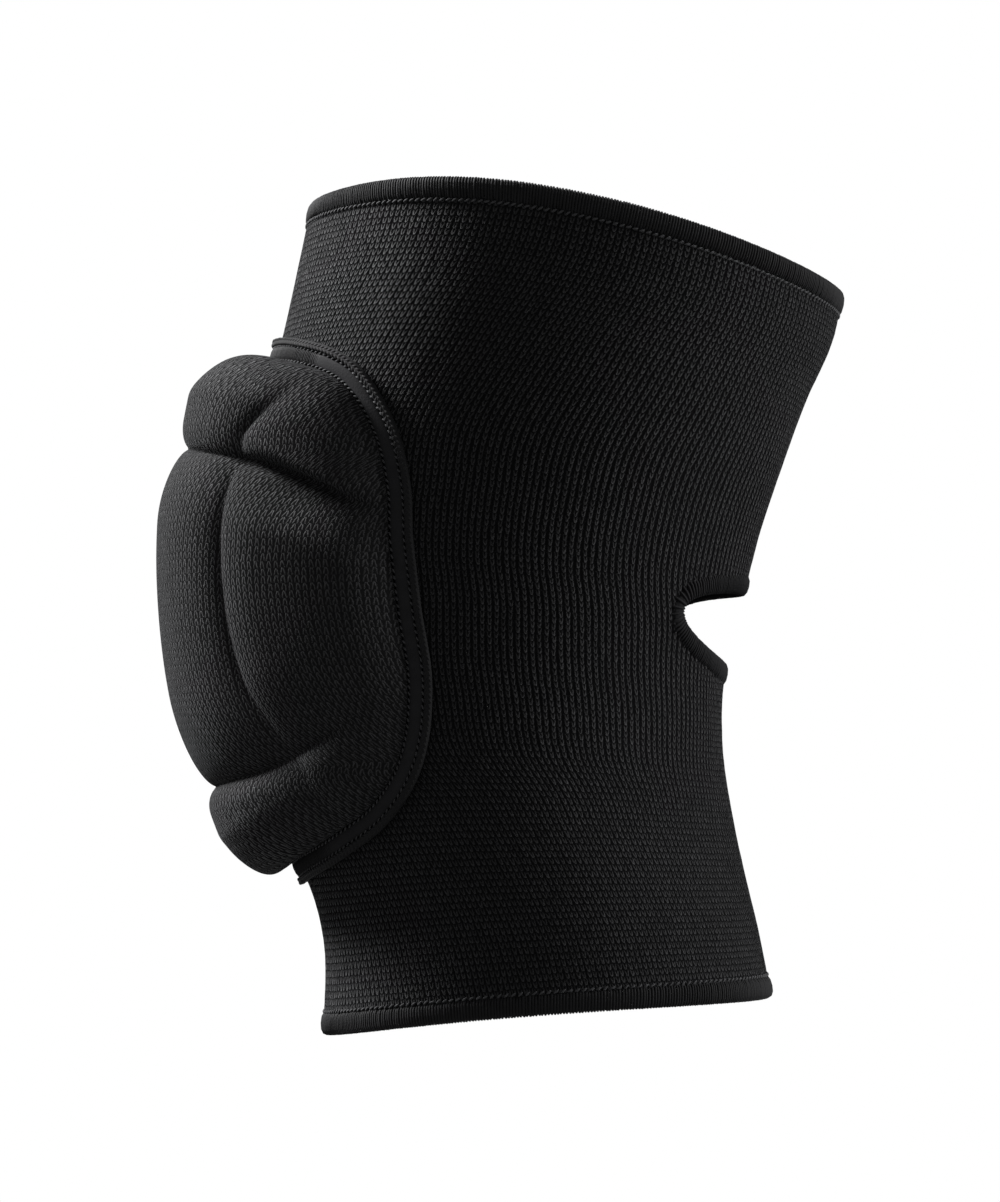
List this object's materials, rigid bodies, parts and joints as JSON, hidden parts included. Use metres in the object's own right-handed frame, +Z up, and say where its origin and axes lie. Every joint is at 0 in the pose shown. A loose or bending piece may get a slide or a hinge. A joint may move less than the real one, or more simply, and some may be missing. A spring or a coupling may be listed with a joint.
{
  "type": "volleyball knee pad",
  "caption": "Knitted black volleyball knee pad: a bent sleeve with a lobed foam pad on the front, overlocked hems and a hole behind the knee, shaped as worn.",
  "frame": {"origin": "middle of the knee, inside the hollow of the sleeve", "axes": "+Z up the leg towards the thigh, -Y out of the front of the knee, X across the leg"},
  "size_m": [0.1394, 0.1929, 0.2338],
  "materials": {
    "sleeve_knit": "ribbed black knit",
    "pad_knit": "black knit over foam",
    "hem_thread": "black overlock thread, satin"
  },
  "bodies": {
    "root": {"sleeve": "sleeve_knit", "top_hem": "hem_thread", "bottom_hem": "hem_thread", "back_hole_hem": "hem_thread", "knee_pad": "pad_knit", "pad_seam_band": "hem_thread", "pad_seam_cord": "hem_thread"}
  },
  "joints": []
}
